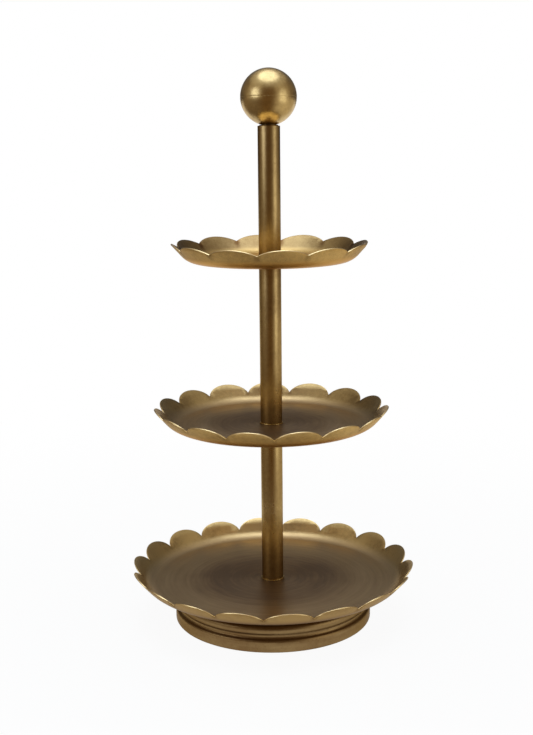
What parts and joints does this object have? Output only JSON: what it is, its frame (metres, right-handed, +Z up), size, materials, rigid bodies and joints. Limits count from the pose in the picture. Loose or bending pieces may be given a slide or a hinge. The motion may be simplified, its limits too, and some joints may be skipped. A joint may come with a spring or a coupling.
{
  "type": "tiered cake stand",
  "caption": "Tiered cake stand in antique brass: scalloped dished plates clamped on a screw-together tube column, with a round moulded foot ring and a ball finial.",
  "frame": {"origin": "middle of the foot ring's underside, on the surface that the stand rests on", "axes": "+Z up along the column, -Y towards the front of the picture, +X to its right"},
  "size_m": [0.2636, 0.2628, 0.5052],
  "materials": {
    "antique_brass": "aged, dark, satin",
    "plain_brass": "turned, unlacquered",
    "steel": "zinc plated"
  },
  "bodies": {
    "base": {"foot_ring": "antique_brass", "bottom_plate": "antique_brass", "base_bolt": "steel", "base_flat_washer": "steel", "base_spring_washer": "steel", "lower_seat_washer": "antique_brass"},
    "lower_lift": {"lower_tube_bottom_plug": "plain_brass"},
    "lower_column": {"lower_tube": "antique_brass", "lower_tube_top_plug": "plain_brass", "lower_stud": "steel", "middle_plate": "antique_brass", "middle_seat_washer": "antique_brass"},
    "middle_lift": {"middle_tube_bottom_plug": "plain_brass"},
    "middle_column": {"middle_tube": "antique_brass", "middle_tube_top_plug": "plain_brass", "middle_stud": "steel", "top_plate": "antique_brass", "upper_seat_washer": "antique_brass"},
    "upper_lift": {"upper_tube_bottom_plug": "plain_brass"},
    "upper_column": {"upper_tube": "antique_brass", "upper_tube_top_plug": "plain_brass"},
    "finial_lift": {"finial_stud": "steel"},
    "finial": {"finial_collar": "antique_brass", "finial_lower_half": "antique_brass", "finial_upper_half": "antique_brass"}
  },
  "joints": [
    {"name": "lower_column_lift", "type": "slide", "parent": "base", "child": "lower_lift", "axis": [0, 0, 1], "range_m": [0, 0.01]},
    {"name": "lower_column_turn", "type": "hinge", "parent": "lower_lift", "child": "lower_column", "pos_m": [0, 0, 0.0368], "axis": [0, 0, 1], "range_deg": [0, 2880]},
    {"name": "middle_column_lift", "type": "slide", "parent": "lower_column", "child": "middle_lift", "axis": [0, 0, 1], "range_m": [0, 0.01]},
    {"name": "middle_column_turn", "type": "hinge", "parent": "middle_lift", "child": "middle_column", "pos_m": [0, 0, 0.187], "axis": [0, 0, 1], "range_deg": [0, 2880]},
    {"name": "upper_column_lift", "type": "slide", "parent": "middle_column", "child": "upper_lift", "axis": [0, 0, 1], "range_m": [0, 0.01]},
    {"name": "upper_column_turn", "type": "hinge", "parent": "upper_lift", "child": "upper_column", "pos_m": [0, 0, 0.3372], "axis": [0, 0, 1], "range_deg": [0, 2880]},
    {"name": "finial_lift", "type": "slide", "parent": "upper_column", "child": "finial_lift", "axis": [0, 0, 1], "range_m": [0, 0.008]},
    {"name": "finial_turn", "type": "hinge", "parent": "finial_lift", "child": "finial", "pos_m": [0, 0, 0.4552], "axis": [0, 0, 1], "range_deg": [0, 2880]}
  ],
  "couplings": [
    {"joint": "lower_column_turn", "follows": "lower_column_lift", "rad_per_m": 5026.5},
    {"joint": "middle_column_turn", "follows": "middle_column_lift", "rad_per_m": 5026.5},
    {"joint": "upper_column_turn", "follows": "upper_column_lift", "rad_per_m": 5026.5},
    {"joint": "finial_turn", "follows": "finial_lift", "rad_per_m": 6283.2}
  ]
}
